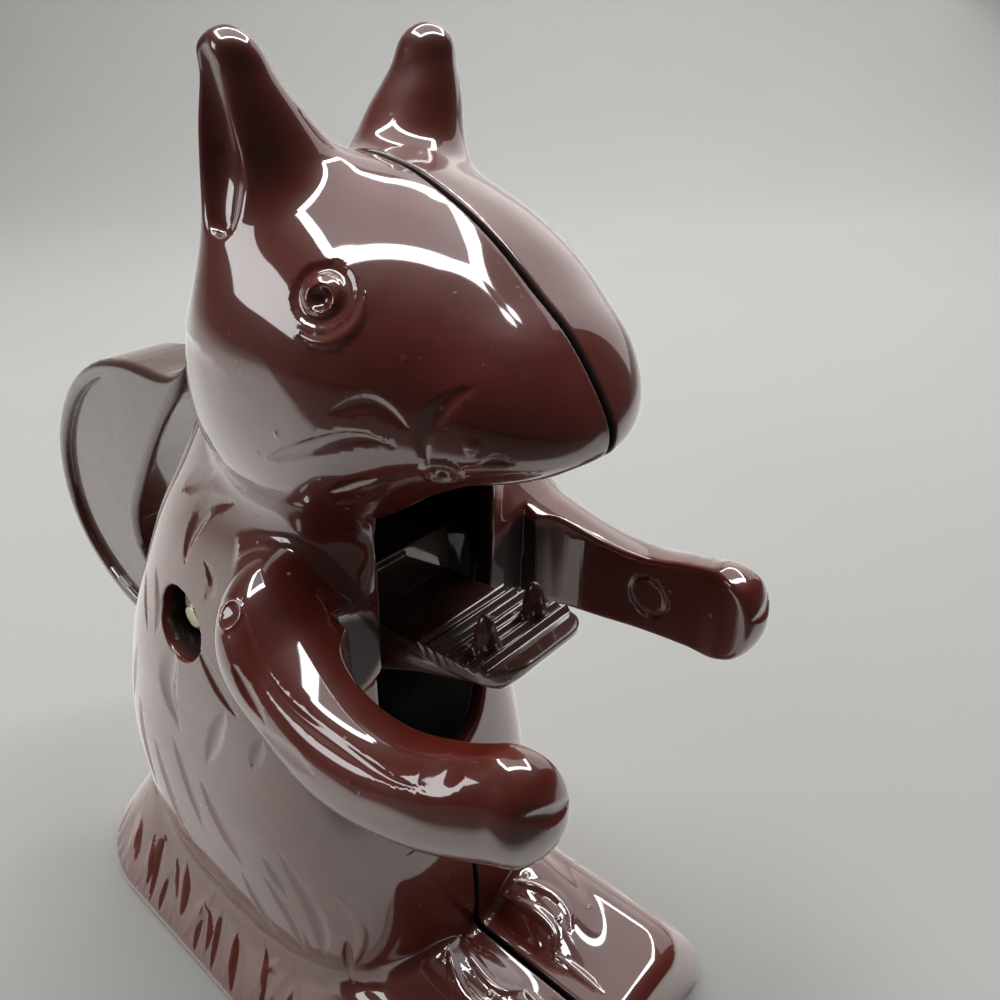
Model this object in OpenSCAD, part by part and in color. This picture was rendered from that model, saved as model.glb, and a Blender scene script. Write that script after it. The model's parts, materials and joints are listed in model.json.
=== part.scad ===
// Lever nutcracker in the form of a sitting squirrel: two hollow cast halves meet on the
// middle plane, and a lever with a ribbed jaw in front and the tail behind turns on a bolt.
// Millimetres. +Z up, -Y is the way the squirrel faces, +X is its left.
// Reaches are measured along Y from the pivot bolt: negative in front, positive behind.

/* [Castings] */
// Wall of the hollow castings
wall = 4; // [3:0.5:5]
// Gap between the two halves along the seam
seam_gap = 0.4; // [0.2:0.1:0.8]
// Half width of the mouth that the jaw swings in
mouth_half = 14.5; // [13:0.1:15.5]
// Half width of the slot for the tail
slot_half = 12.5; // [11:0.1:14]
// Height of the flat upper jaw under the head
anvil_z = 150; // [146:1:154]
// Thickness of the upper jaw
anvil_t = 8; // [5:1:10]

/* [Plinth] */
// Width of the plinth where it stands
base_w = 85; // [78:1:96]
// Width of the plinth's top
base_top_w = 56; // [48:1:66]
// Height of the plinth
base_h = 24; // [20:1:28]
// Front edge of the plinth
base_front = -88; // [-94:1:-82]
// Rear edge of the plinth
base_rear = 76; // [72:1:84]
// Corner radius at the front
base_front_r = 9; // [4:1:14]
// Corner radius at the rear
base_rear_r = 34; // [20:1:38]

/* [Body] */
// Half width across the haunches
haunch_half = 36; // [34:0.5:40]
// Half width across the shoulders
shoulder_half = 32; // [29:0.5:34]
// Half width of the neck
neck_half = 20; // [18:0.5:24]
// Furthest reach of the rump
rump_reach = 66.5; // [63:0.5:72]
// Reach of the chest behind the jaw
chest_reach = -43; // [-46:0.5:-40]

/* [Head] */
// Half width across the cheeks
cheek_half = 30; // [28:0.5:32]
// Height of the crown between the ears
crown_z = 191; // [188:0.5:195]
// Reach of the nose tip
nose_reach = -80; // [-84:0.5:-76]
// Height of the nose tip
nose_z = 156.5; // [154:0.5:159]
// Height of the ear tips
ear_tip_z = 208; // [202:0.5:216]
// Distance of each ear from the middle plane
ear_off = 19; // [17:0.5:22]

/* [Arms] */
// Distance of each paw from the middle plane
paw_off = 28; // [25:0.5:32]
// Furthest reach of the paws
paw_reach = -94; // [-98:0.5:-90]
// Height of the middle of the paws
paw_z = 115; // [110:0.5:119]

/* [Lever] */
// Height of the pivot bolt
pivot_z = 104; // [101:0.5:107]
// Width of the jaw plate
jaw_w = 24.2; // [22:0.1:24.4]
// Reach of the jaw's front lip
jaw_reach = -70.5; // [-73:0.5:-68]
// Height of the jaw's front lip
jaw_z = 116; // [113:0.5:118]
// Number of ribs across the jaw
jaw_ribs = 7; // [4:1:9]
// Height of a rib
rib_h = 1.3; // [0.6:0.1:1.8]
// Height of the two spikes above the plate
spike_h = 8; // [5:0.5:10]
// Radius of a spike at its foot
spike_r = 2.3; // [1.6:0.1:3]
// Distance between the two spikes
spike_gap = 12.8; // [9:0.2:16]
// Thickness of the tail
tail_t = 18; // [14:0.5:20]
// Width of the rim round the tail
tail_rim = 4; // [3:0.5:6]
// Depth of the tail's side panels
panel_d = 2; // [1:0.5:4]
// Rearmost reach of the tail
tail_reach = 106; // [102:1:112]
// Radius of the lever's hub
hub_r = 14; // [12:0.5:15]
// Width of the lever's hub
hub_w = 22.8; // [21:0.1:23]

/* [Fasteners] */
// Pivot bolt diameter
bolt_d = 6; // [5:0.5:8]
// Running clearance of the hub on the bolt, on the radius
bolt_fit = 0.08; // [0.04:0.01:0.1]
// Clearance of a bolt or pin in a fixed hole, on the radius
hole_fit = 0.1; // [0.05:0.05:0.2]
// Width across flats of the pivot bolt's head and nut
hex_af = 10; // [8:0.5:11]
// Height of the pivot bolt's head
hex_h = 4; // [3:0.5:5]
// Height of the nut
nut_h = 5; // [4:0.5:6]
// Outer diameter of the bolt's washers
washer_d = 12.5; // [11:0.5:14]
// Thickness of the bolt's washers
washer_t = 1.6; // [1:0.2:2]
// Diameter of the pockets for head and nut
pocket_d = 15.5; // [14.5:0.5:18]
// Distance of a pocket's floor from the middle plane
pocket_floor = 20; // [19:0.5:21]
// Diameter of the two case screws
screw_d = 5; // [4:0.5:5]
// Depth of a case screw's thread in the right half
screw_grip = 15; // [10:1:16]
// Diameter of the locating pins
pin_d = 4; // [3:0.5:4.5]
// Length of the locating pins
pin_len = 12; // [8:1:14]

/* [Hidden] */

enamel = [0.30, 0.09, 0.08];
zinc = [0.78, 0.78, 0.74];

ring_n = 32;       // points round the body and the head
limb_n = 20;       // points round an arm, an ear or a foot
big = 300;         // longer than the whole figure
eps = 0.01;

paw_r = 8.7;                                   // half thickness of a paw
middle = (paw_reach + tail_reach) / 2;        // half way along the whole length
boss_face = hub_w / 2 + 1.4;                  // inner face of the pivot bosses
boss_r = 11;
screw_boss_r = 6.5;
screw_floor = 19;                             // floor of the screw pockets
screw_pocket_d = 10.5;
screw_head_d = 8.5;
screw_head_h = 4;
socket_af = 3;
pin_boss_r = 5;
pin_play = 0.4;                               // air at a pin's ends
tip = 0.5;                                    // half size of a closing ring
mouth_low = pivot_z - 10;                     // where the mouth's half-round foot begins
mouth_drop = 20;                              // how far that foot goes down
mouth_back = -28;                             // rear wall of the mouth
chest_half = 24;                              // half width of the chest's flat front
slot_low = base_h + 5;                        // lower end of the slot for the tail
slot_high = pivot_z - 4;                      // upper end of the slot for the tail
panel_front = 62;                             // where the tail's side panels begin
spike_reach = -60.5;

// Places of the case screws and the locating pins: reach and height
head_screw = [-14, 162];
base_screw = [-8, 12.5];
chest_pin = [chest_reach - 0.5, 58];
rump_pin = [base_rear - 17, 13];

// Torso sections from the plinth to the neck: height, front reach, back reach, half width
torso = [
    [base_h - 6, chest_reach - 4, rump_reach - 1, haunch_half - 3.5],
    [base_h + 8, chest_reach - 6, rump_reach, haunch_half - 1],
    [base_h + 24, chest_reach - 5.5, rump_reach - 1, haunch_half],
    [base_h + 38, chest_reach - 3.5, rump_reach - 5, haunch_half],
    [base_h + 52, chest_reach - 1, rump_reach - 11, haunch_half - 1],
    [pivot_z - 14, chest_reach + 1.5, rump_reach - 18, shoulder_half + 1.5],
    [pivot_z, chest_reach + 1, rump_reach - 26, shoulder_half - 1],
    [pivot_z + 14, chest_reach - 2, rump_reach - 34, shoulder_half - 4],
    [pivot_z + 27, chest_reach - 3.5, 23.5, neck_half + 3.5],
    [pivot_z + 40, chest_reach - 3, 14, neck_half],
    [pivot_z + 52, chest_reach + 3, 2, neck_half - 3]];

// Head sections from the nape to the nose: reach, lowest height, highest height, half width
head = [
    [1, 148, 151, tip],
    [-0.5, 142, 157, cheek_half - 19],
    [-4, 136, 165.5, cheek_half - 12.5],
    [-10, 131, crown_z - 15, cheek_half - 6],
    [-20, 127.5, crown_z - 6, cheek_half - 1.8],
    [-30, 128, crown_z - 0.8, cheek_half],
    [-40, 131.5, crown_z - 1.2, cheek_half],
    [-50, 137.5, crown_z - 5, cheek_half - 1.5],
    [-59, 143.5, crown_z - 10.3, cheek_half - 5],
    [nose_reach + 14, 147, crown_z - 16, cheek_half - 8.5],
    [nose_reach + 8, 149.5, nose_z + 13.5, cheek_half - 12.5],
    [nose_reach + 3, 152.3, nose_z + 7, cheek_half - 18.5],
    [nose_reach, nose_z - tip, nose_z + tip, tip]];

// Right arm from the shoulder to the paw: place, half thickness sideways and upwards
arm = [
    [-20, -20, 117, 10, 10],
    [-24, -32, 117, 15.5, 12.5],
    [-27, -44, 111.5, 13.8, 10.6],
    [-31, -56, 108.6, 10.6, 9.2],
    [-32.3, -67, 109, 9, 8.6],
    [-31, -78, 111.5, 8.3, 9],
    [-paw_off - 1, paw_reach + 8, paw_z - 1.2, paw_r - 1.2, paw_r + 0.6],
    [-paw_off - 1, paw_reach + 3, paw_z - 0.3, paw_r - 3, paw_r - 1.2],
    [-paw_off - 0.5, paw_reach + 0.5, paw_z, paw_r - 5.5, paw_r - 4.2],
    [-paw_off - 0.5, paw_reach, paw_z, tip, tip]];

// Inner face of the left arm from the chest to the paw: distance from the middle plane, reach
arm_face = [
    [20, chest_reach - 3], [24, chest_reach - 3.5], [27.5, -50], [30, -58], [30.8, -67], [29.5, -78], [25, -88],
    [22, paw_reach - 5]];

// Right ear from its root to its tip: place, half size across and along
ear = [
    [-ear_off + 6, -25.5, crown_z - 18, 11, 11.5],
    [-ear_off + 6, -26, crown_z - 7, 11, 11],
    [-ear_off + 4, -27.3, crown_z + 3, 8.4, 8.5],
    [-ear_off + 1.5, -28, ear_tip_z - 6, 4.9, 6],
    [-ear_off + 0.5, -28, ear_tip_z - 1.2, 3.4, 4.8],
    [-ear_off + 0.5, -28, ear_tip_z, 1.2, 2.5]];

// Hollow of the right ear, facing outwards
ear_hollow = [
    [-ear_off - 2, -32, crown_z - 8, 1.5, 2],
    [-ear_off - 3, -30.5, crown_z - 3, 5, 7],
    [-ear_off - 4, -29, crown_z + 4, 5, 5.5],
    [-ear_off - 4, -28.5, ear_tip_z - 5, 3.4, 3.4],
    [-ear_off - 3.5, -28.5, ear_tip_z - 2.5, 1, 1.2]];

// Right foot on the plinth, from the heel to the toes
foot = [
    [-15, -34, base_h, 8, 6],
    [-15, -48, base_h, 9.5, 6],
    [-13.5, -60, base_h - 0.5, 9, 4],
    [-12, -68, base_h - 1.5, 6.5, 2.5],
    [-11, -72, base_h - 2, tip, tip]];

// Side outline of the tail from the hub, along its front edge to the tip and back below
// Places are shares of the tail's reach, from the pivot bolt
tail_front = [
    [0.06, 0.06], [0.23, -0.07], [0.415, -0.2], [0.565, -0.21], [0.59, -0.085],
    [0.467, 0.095], [0.354, 0.226], [0.25, 0.33], [0.175, 0.43]];
tail_back = [
    [0.175, 0.43], [0.226, 0.387], [0.311, 0.358], [0.472, 0.354], [0.64, 0.311], [0.81, 0.208],
    [0.948, 0.047], [1, -0.123], [0.962, -0.274], [0.83, -0.387], [0.64, -0.434], [0.453, -0.396],
    [0.245, -0.283], [-0.02, -0.123]];

// Underside of the jaw from the front lip to the hub
jaw_under = [
    [jaw_reach, jaw_z - 1.2], [jaw_reach + 3.5, jaw_z - 6], [jaw_reach + 11, jaw_z - 8.5],
    [-46, jaw_z - 13.5], [-32, pivot_z - 8], [-14, pivot_z - 12.5], [0, pivot_z - hub_r]];
plate_front = [-65, jaw_z - 0.6];   // first rib
plate_back = [-47.5, jaw_z - 3];    // last rib
riser_reach = -34.5;
riser_top = pivot_z + 19;
jaw_corner = 6;                     // radius of the plate's front corners

function between(a, b, t) = a + (b - a) * t;
function curve(p, i, t) =
    let (a = p[max(i - 1, 0)], b = p[i], c = p[i + 1], d = p[min(i + 2, len(p) - 1)])
    0.5 * (2 * b + (c - a) * t + (2 * a - 5 * b + 4 * c - d) * t * t
        + (3 * b - a - 3 * c + d) * t * t * t);
function smooth(p, k) = concat(
    [for (i = [0 : len(p) - 2], j = [0 : k - 1]) curve(p, i, j / k)], [p[len(p) - 1]]);
function bulge(c, n) = sign(c) * pow(abs(c), 2 / n);
function unit(v) = v / norm(v);

// Rings of the four kinds of section
function torso_ring(s) = [for (k = [0 : ring_n - 1])
    let (a = 360 * k / ring_n, n = sin(a) < 0 ? 3.2 : 2.05)
    [s[3] * bulge(cos(a), n), (s[1] + s[2]) / 2 + (s[2] - s[1]) / 2 * bulge(sin(a), n), s[0]]];
function head_ring(s, n = 2.2) = [for (k = [0 : ring_n - 1]) let (a = 360 * k / ring_n)
    [s[3] * bulge(cos(a), n), s[0], (s[1] + s[2]) / 2 + (s[2] - s[1]) / 2 * bulge(sin(a), n)]];
function flat_ring(s) = [for (k = [0 : limb_n - 1]) let (a = 360 * k / limb_n)
    [s[0] + s[3] * cos(a), s[1] + s[4] * sin(a), s[2]]];
function place(s) = [s[0], s[1], s[2]];
function limb_rings(p) = [for (i = [0 : len(p) - 1])
    let (
        t = unit(place(p[min(i + 1, len(p) - 1)]) - place(p[max(i - 1, 0)])),
        s = unit(cross(t, [0, 0, 1])),
        u = cross(t, s))
    [for (k = [0 : limb_n - 1]) let (a = 360 * k / limb_n)
        place(p[i]) + s * p[i][3] * cos(a) + u * p[i][4] * sin(a)]];
function corner(x, y, r, from) = [for (k = [0 : 6]) let (a = from + 15 * k)
    [x + r * cos(a), y + r * sin(a)]];
function plan(half, front, back, rf, rr) = concat(
    corner(half - rf, front + rf, rf, -90), corner(half - rr, back - rr, rr, 0),
    corner(rr - half, back - rr, rr, 90), corner(rf - half, front + rf, rf, 180));
function lift(pts, z) = [for (p = pts) [p[0], p[1], z]];

// Skin through a row of rings
module loft(rings) {
    n = len(rings[0]);
    m = len(rings);
    polyhedron(
        points = [for (r = rings, p = r) p],
        faces = concat(
            [[for (j = [0 : n - 1]) j]],
            [for (i = [0 : m - 2], j = [0 : n - 1])
                [i * n + j, (i + 1) * n + j, (i + 1) * n + (j + 1) % n]],
            [for (i = [0 : m - 2], j = [0 : n - 1])
                [i * n + j, (i + 1) * n + (j + 1) % n, i * n + (j + 1) % n]],
            [[for (j = [0 : n - 1]) m * n - 1 - j]]));
}

// Prism with a side outline of reach and height, centred on the middle plane
module side_prism(width, pts) {
    rotate([90, 0, 90]) linear_extrude(width, center = true) polygon(pts);
}

// Rod along X between two distances from the middle plane
module rod(d, from, to, at, n = 48) {
    translate([from, at[0], at[1]]) rotate([0, 90, 0]) cylinder(d = d, h = to - from, $fn = n);
}

module both_sides() {
    children();
    mirror([1, 0, 0]) children();
}

module plinth(inset) {
    slope = (base_w - base_top_w) / 2;
    low = base_w / 2 - inset;
    top = base_top_w / 2 - inset;
    front = base_front + inset;
    rear = base_rear - inset;
    loft([
        lift(plan(low, front, rear, base_front_r, base_rear_r), inset > 0 ? -1 : 0),
        lift(plan(low, front, rear, base_front_r, base_rear_r), 3),
        lift(plan(top + 1.5, front, rear - slope + 2, base_front_r, base_top_w / 2 - 4), base_h - 2 - inset),
        lift(plan(top, front + 1.5, rear - slope, base_front_r, base_top_w / 2 - 5), base_h - inset)]);
}

module torso_form(inset, from) {
    rows = [for (s = smooth(torso, 2)) [s[0], s[1] + inset, s[2] - inset, s[3] - inset]];
    loft([for (s = concat([[from, rows[0][1], rows[0][2], rows[0][3]]], rows)) torso_ring(s)]);
}

module head_form() {
    loft([for (s = smooth(head, 2)) head_ring(s)]);
}

// Hollow of the head, which leaves the upper jaw solid
module head_hollow() {
    inner = [for (s = smooth(head, 2)) if (s[0] < -wall && s[0] > nose_reach + 2.5 * wall)
        [s[0], max(s[1] + wall, s[0] < -26 ? anvil_z + anvil_t : 0), s[2] - wall, s[3] - wall]];
    loft([for (s = inner) head_ring(s)]);
}

// Outer form of the whole figure, still in one piece
module figure() {
    plinth(0);
    torso_form(0, 4);
    head_form();
    both_sides() {
        difference() {
            loft([for (s = smooth(ear, 2)) flat_ring(s)]);
            loft([for (s = smooth(ear_hollow, 2)) flat_ring(s)]);
        }
        loft(limb_rings(smooth(arm, 2)));
        loft(limb_rings(smooth(foot, 2)));
    }
}

// Space inside the castings, open below
module hollow() {
    plinth(wall);
    torso_form(wall, -1);
    head_hollow();
}

// Way of the lever: the mouth between the arms in front, and the slot for the tail behind
module channel() {
    front = paw_reach - 5;
    // Mouth with its half-round foot
    translate([-mouth_half, front, mouth_low])
        cube([2 * mouth_half, mouth_back - front, anvil_z - mouth_low]);
    translate([0, front, mouth_low]) rotate([-90, 0, 0])
        scale([mouth_half, mouth_drop, 1]) cylinder(r = 1, h = mouth_back - front, $fn = 32);
    // Flat front of the chest and inner faces of the arms
    translate([0, 0, mouth_low - mouth_drop - 14]) linear_extrude(pivot_z - 34) polygon(concat(
        arm_face, [for (i = [len(arm_face) - 1 : -1 : 0]) [-arm_face[i][0], arm_face[i][1]]]));
    // Leaning front of the chest
    side_prism(2 * chest_half, [
        [front, mouth_low - 2], [chest_reach + 2, mouth_low - 2], [chest_reach - 1.3, mouth_low + 38],
        [chest_reach - 1.3, mouth_low + 44], [front, mouth_low + 44]]);
    // Slot down the back
    side_prism(2 * slot_half, [
        [20, slot_low], [20, slot_high - 4], [30, slot_high], [90, slot_high], [90, slot_low]]);
}

module bosses() {
    rod(2 * boss_r, -big, -boss_face, [0, pivot_z], 32);
    for (at = [head_screw, base_screw]) rod(2 * screw_boss_r, -big, 0, at, 24);
    for (at = [chest_pin, rump_pin]) rod(2 * pin_boss_r, -pin_len, 0, at, 20);
}

// Ribs under the upper jaw
module anvil_grooves() {
    pitch = 3;
    for (i = [0 : 8])
        side_prism(2 * mouth_half - 2, [
            [-66 + i * pitch, anvil_z - eps], [-66 + (i + 0.5) * pitch, anvil_z + rib_h],
            [-66 + (i + 1) * pitch, anvil_z - eps]]);
}

// One cast half, on the squirrel's right
module casting() {
    difference() {
        intersection() {
            translate([-big - seam_gap / 2, -big, 0]) cube([big, 2 * big, big]);
            union() {
                difference() {
                    figure();
                    hollow();
                    channel();
                }
                intersection() {
                    figure();
                    bosses();
                }
            }
        }
        anvil_grooves();
    }
}

// The casting's form is one closed skin, and its bores are cut true
module half(side) {
    difference() {
        resize([0, 0, 0]) mirror([side > 0 ? 1 : 0, 0, 0]) casting();
        rod(bolt_d + 2 * hole_fit, -big, big, [0, pivot_z]);
        rod(pocket_d, side > 0 ? pocket_floor : -big, side > 0 ? big : -pocket_floor, [0, pivot_z]);
        for (at = [chest_pin, rump_pin])
            rod(pin_d + 2 * hole_fit, -pin_len / 2 - pin_play, pin_len / 2 + pin_play, at);
        for (at = [head_screw, base_screw])
            if (side > 0) {
                rod(screw_d + 2 * hole_fit, -big, big, at);
                rod(screw_pocket_d, screw_floor, big, at);
            } else {
                rod(screw_d, -screw_grip - 1, big, at);
            }
    }
}

module at_middle() {
    translate([0, -middle, 0]) children();
}

module right_half() {
    color(enamel) at_middle() half(-1);
}

module left_half() {
    color(enamel) at_middle() half(1);
}

// Upper edge of the jaw: lip, ribs, flat and riser
function rib_edge() = concat(
    [[jaw_reach, jaw_z]],
    [for (i = [0 : jaw_ribs - 1], j = [0, 1])
        let (p = between(plate_front, plate_back, (i + j / 2) / jaw_ribs))
        [p[0], p[1] - (1 - j) * rib_h]],
    [plate_back - [0, rib_h], [riser_reach, plate_back[1] - rib_h - 0.4],
     [riser_reach + 1, riser_top], [-16, riser_top - 1], [0, pivot_z + hub_r]]);

module jaw() {
    intersection() {
        side_prism(jaw_w, concat(rib_edge(), [for (i = [len(jaw_under) - 1 : -1 : 0]) jaw_under[i]]));
        linear_extrude(big) polygon(plan(jaw_w / 2, jaw_reach, 10, jaw_corner, 1));
    }
}

module spike() {
    rotate_extrude($fn = 24) polygon([
        [0, -3], [spike_r, -3], [spike_r, 0], [spike_r, spike_h * 0.3],
        [spike_r * 0.8, spike_h * 0.6], [spike_r * 0.45, spike_h * 0.85], [0, spike_h]]);
}

module tail_outline() {
    outline = concat(smooth(tail_front, 4), smooth(tail_back, 4));
    polygon([for (p = outline) [p[0] * tail_reach, pivot_z + p[1] * tail_reach]]);
}

module tail() {
    rotate([90, 0, 90]) difference() {
        linear_extrude(tail_t, center = true) tail_outline();
        for (s = [-1, 1])
            translate([0, 0, s * tail_t / 2]) linear_extrude(2 * panel_d, center = true)
                intersection() {
                    offset(delta = -tail_rim) tail_outline();
                    translate([panel_front, 0]) square(big);
                }
    }
}

module tail_lever() {
    color(enamel) at_middle() difference() {
        union() {
            jaw();
            tail();
            rod(2 * hub_r, -hub_w / 2, hub_w / 2, [0, pivot_z]);
            for (s = [-1, 1])
                translate([s * spike_gap / 2, spike_reach, jaw_z - 3]) spike();
        }
        rod(bolt_d + 2 * bolt_fit, -big, big, [0, pivot_z]);
        // Slim waist, so that the hub alone fills the way between the bosses
        for (s = [-1, 1])
            translate([s * (hub_w / 2 + 1), 0, pivot_z]) rotate([0, 90, 0])
                cylinder(r = boss_r + 3, h = 2, center = true, $fn = 48);
    }
}

module hexagon(af, from, to) {
    rod(af / cos(30), from, to, [0, pivot_z], 6);
}

module pivot_bolt() {
    seat = pocket_floor + washer_t;
    color(zinc) at_middle() {
        rod(bolt_d, -seat - nut_h - 1.5, seat, [0, pivot_z]);
        hexagon(hex_af, seat, seat + hex_h);
    }
}

module pivot_nut() {
    seat = pocket_floor + washer_t;
    color(zinc) at_middle() difference() {
        hexagon(hex_af, -seat - nut_h, -seat);
        rod(bolt_d, -big, big, [0, pivot_z]);
    }
}

module washer(outer, from, to) {
    difference() {
        rod(outer, from, to, [0, pivot_z]);
        rod(bolt_d + 2 * hole_fit, -big, big, [0, pivot_z]);
    }
}

module bolt_washers() {
    color(zinc) at_middle() both_sides() washer(washer_d, pocket_floor, pocket_floor + washer_t);
}

module lever_washers() {
    color(zinc) at_middle() both_sides() washer(2 * boss_r, hub_w / 2 + 0.3, boss_face);
}

module case_screws() {
    color(zinc) at_middle() for (at = [head_screw, base_screw]) difference() {
        union() {
            rod(screw_d, -screw_grip, screw_floor, at);
            rod(screw_head_d, screw_floor, screw_floor + screw_head_h, at);
        }
        rod(socket_af / cos(30), screw_floor + 1.5, big, at, 6);
    }
}

module locating_pins() {
    color(zinc) at_middle() for (at = [chest_pin, rump_pin]) rod(pin_d, -pin_len / 2, pin_len / 2, at);
}

right_half();
left_half();
tail_lever();
pivot_bolt();
pivot_nut();
bolt_washers();
lever_washers();
case_screws();
locating_pins();
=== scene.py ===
import json
import math
import random

import bpy
import numpy as np
from mathutils import Matrix, Vector


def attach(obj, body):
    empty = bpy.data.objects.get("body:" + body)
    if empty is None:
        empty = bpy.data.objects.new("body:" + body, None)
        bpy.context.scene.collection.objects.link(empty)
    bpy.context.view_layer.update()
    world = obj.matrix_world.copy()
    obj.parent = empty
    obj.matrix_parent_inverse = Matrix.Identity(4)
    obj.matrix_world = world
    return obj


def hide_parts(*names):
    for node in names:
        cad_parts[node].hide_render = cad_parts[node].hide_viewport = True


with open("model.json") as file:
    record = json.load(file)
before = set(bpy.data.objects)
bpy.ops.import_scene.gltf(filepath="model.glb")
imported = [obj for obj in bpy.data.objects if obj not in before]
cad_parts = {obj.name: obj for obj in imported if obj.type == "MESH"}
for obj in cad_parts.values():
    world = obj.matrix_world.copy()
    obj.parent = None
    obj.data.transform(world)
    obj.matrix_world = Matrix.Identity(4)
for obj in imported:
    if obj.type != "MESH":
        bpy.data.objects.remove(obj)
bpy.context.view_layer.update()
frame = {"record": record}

# Lengths are millimetres. Reaches run along Y from the pivot bolt, negative in front of it.
mm = 0.001
pivotAt = [value / mm for value in frame["record"]["behaviour"]["joints"][0]["pos_m"]]
pivotZ = pivotAt[2]


def fillet(a, b, reach):
    # the nearer of two forms, with a fillet between them; distances are negative inside a form
    share = np.clip(0.5 + 0.5 * (b - a) / reach, 0, 1)
    return b + (a - b) * share - reach * share * (1 - share)


def trim(a, b, reach):
    # what two forms share, with its edge rounded
    return -fillet(-a, -b, reach)


def common(*forms):
    # what forms share, with sharp edges
    return np.maximum.reduce(forms)


def roundCorner(a, b, radius):
    # what two sides square to each other share, with a round corner
    a, b = a + radius, b + radius
    return np.minimum(np.maximum(a, b), 0) + np.hypot(np.maximum(a, 0), np.maximum(b, 0)) - radius


class Loft:
    # Round form through stations: place on the axis, centre and half size in the two other directions.
    # Squared half sizes are what is drawn through the stations, which keeps a closed end round.
    # The nudge keeps samples off the very tip, where the shares of the half sizes have no value.
    nudge = 0.002

    def __init__(self, axis, rows, power=(2, 2), openEnds=(False, False)):
        table = np.array(sorted(rows), float)
        table[:, 3:] **= 2
        self.axis = axis
        self.across = [i for i in range(3) if i != axis]
        self.place = table[:, 0]
        self.value = table[:, 1:]
        self.slope = np.gradient(self.value, self.place, axis=0)
        self.power = power
        self.openEnds = openEnds
        size = np.sqrt(self.value[:, 2:])
        self.low = np.zeros(3)
        self.high = np.zeros(3)
        self.low[axis] = self.place[0]
        self.high[axis] = self.place[-1]
        self.low[self.across] = (self.value[:, :2] - size).min(0)
        self.high[self.across] = (self.value[:, :2] + size).max(0)

    def level(self, p):
        along = p[:, self.axis] + self.nudge
        i = np.clip(np.searchsorted(self.place, along) - 1, 0, len(self.place) - 2)
        span = (self.place[i + 1] - self.place[i])[:, None]
        raw = (along - self.place[i])[:, None] / span
        t = np.clip(raw, 0, 1)
        t2, t3 = t * t, t * t * t
        row = (self.value[i] * (2 * t3 - 3 * t2 + 1) + self.value[i + 1] * (3 * t2 - 2 * t3)
               + self.slope[i] * span * (t3 - 2 * t2 + t) + self.slope[i + 1] * span * (t3 - t2))
        past = (raw - t) * span
        row = row + past * np.where(past < 0, self.slope[0], self.slope[-1])
        area = np.sign(np.minimum(row[:, 2], row[:, 3])) * np.sqrt(np.abs(row[:, 2] * row[:, 3]))
        shape = np.abs(row[:, 3]) / np.maximum(np.abs(row[:, 2]), 1e-3)
        stretch = np.clip(shape, 0.04, 25) ** 0.25
        u = np.abs(p[:, self.across[0]] - row[:, 0]) * stretch
        v = (p[:, self.across[1]] - row[:, 1]) / stretch
        n = np.where(v < 0, self.power[0], self.power[1])
        return (u ** n + np.abs(v) ** n) ** (2 / n) - area, np.abs(area)

    def distance(self, p, margin=14):
        result = np.full(len(p), float(margin))
        near = np.all((p > self.low - margin) & (p < self.high + margin), axis=1)
        q = p[near]
        if not len(q):
            return result
        level, area = self.level(q)
        # the level divided by its own slope is close to a distance
        step = 0.05
        rate = np.zeros(len(q))
        for i in range(3):
            moved = q.copy()
            moved[:, i] += step
            rate += ((self.level(moved)[0] - level) / step) ** 2
        found = level / np.maximum(np.sqrt(rate), np.sqrt(area) + 0.5)
        if self.openEnds[0]:
            found = np.maximum(found, self.place[0] - q[:, self.axis])
        if self.openEnds[1]:
            found = np.maximum(found, q[:, self.axis] - self.place[-1])
        result[near] = np.minimum(found, margin)
        return result


def rod(p, radius, at, start=-1e3, end=1e3):
    # round bar along X through a reach and a height
    around = np.hypot(p[:, 1] - at[0], p[:, 2] - at[1]) - radius
    return common(around, start - p[:, 0], p[:, 0] - end)


def smoothPath(points, pieces):
    # curve through the points
    p = np.array(points, float)
    if len(p) < 3:
        return p
    padded = np.vstack([2 * p[0] - p[1], p, 2 * p[-1] - p[-2]])
    out = []
    for i in range(1, len(padded) - 2):
        a, b, c, d = padded[i - 1:i + 3]
        for j in range(pieces):
            t = j / pieces
            out.append(0.5 * (2 * b + (c - a) * t + (2 * a - 5 * b + 4 * c - d) * t * t
                              + (3 * b - a - 3 * c + d) * t ** 3))
    out.append(p[-1])
    return np.array(out)


def nearPath(p, path):
    # distance to a path, and how far along it the nearest place lies, from 0 to 1
    best = np.full(len(p), 1e3)
    along = np.zeros(len(p))
    lengths = np.linalg.norm(np.diff(path, axis=0), axis=1)
    total = max(lengths.sum(), 1e-6)
    done = 0.0
    for a, b, length in zip(path[:-1], path[1:], lengths):
        way = b - a
        t = np.clip((p - a) @ way / max(length * length, 1e-9), 0, 1)
        far = np.linalg.norm(p - (a + t[:, None] * way), axis=1)
        closer = far < best
        best = np.where(closer, far, best)
        along = np.where(closer, (done + t * length) / total, along)
        done += length
    return best, along


def bell(u):
    return np.where(np.abs(u) < 1, (1 - u * u) ** 2, 0)


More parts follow.
